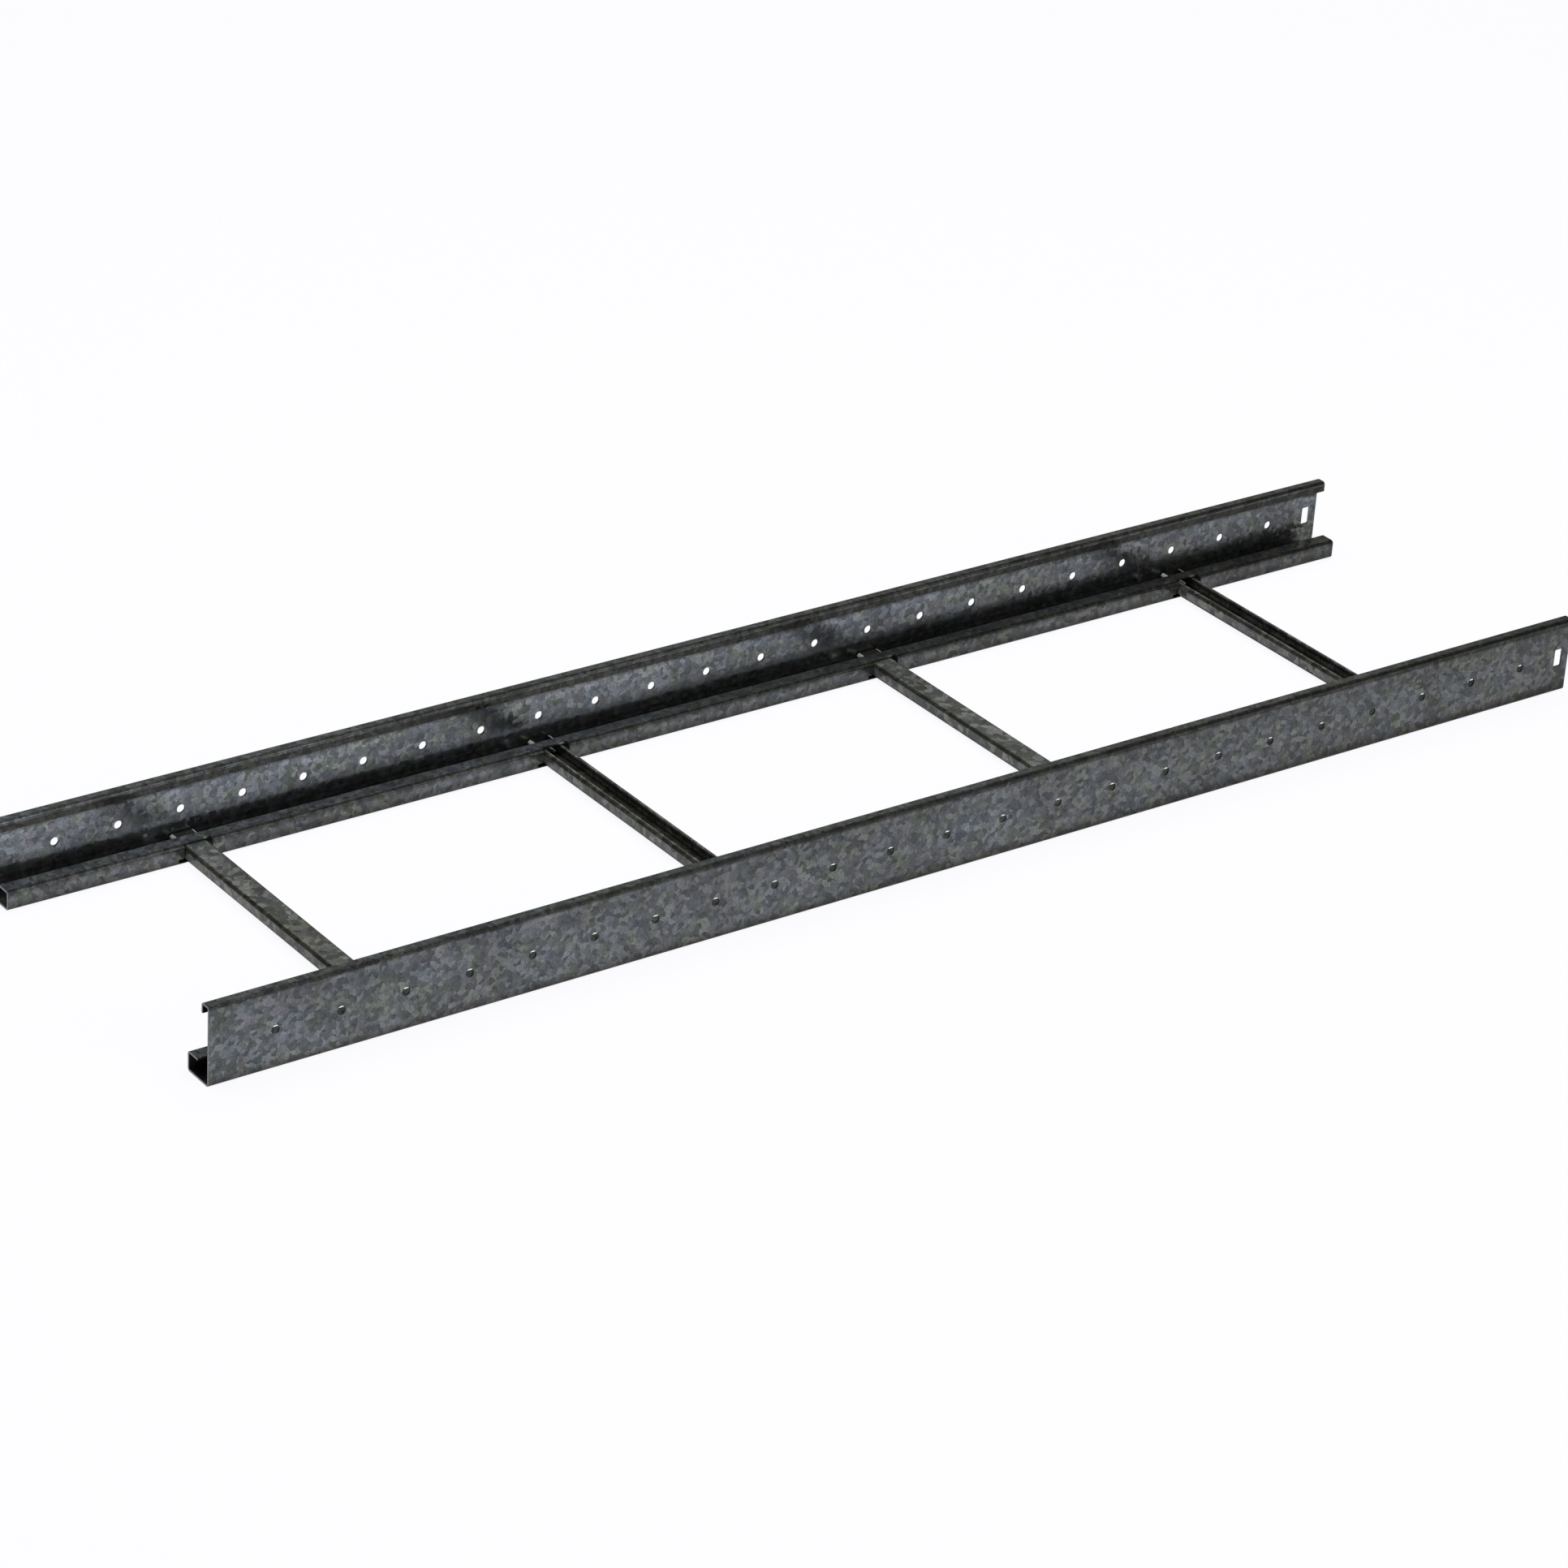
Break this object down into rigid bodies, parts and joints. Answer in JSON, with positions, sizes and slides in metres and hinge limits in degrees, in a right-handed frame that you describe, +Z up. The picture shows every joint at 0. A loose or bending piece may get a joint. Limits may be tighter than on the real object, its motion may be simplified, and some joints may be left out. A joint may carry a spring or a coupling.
{
  "type": "cable ladder section",
  "caption": "Straight cable ladder section with formed steel side rails, hooked tops, round web holes and channel rungs between them.",
  "frame": {"origin": "centre of the ladder's plan outline, on the plane its side rails stand on", "axes": "+X along the side rails towards the end with the upright slots, +Y across to the left rail, +Z up"},
  "size_m": [1.2, 0.3, 0.06],
  "materials": {
    "galvanised_steel": "satin"
  },
  "bodies": {
    "root": {"side_rail_right": "galvanised_steel", "side_rail_left": "galvanised_steel", "rung_1": "galvanised_steel", "rung_2": "galvanised_steel", "rung_3": "galvanised_steel", "rung_4": "galvanised_steel"}
  },
  "joints": []
}
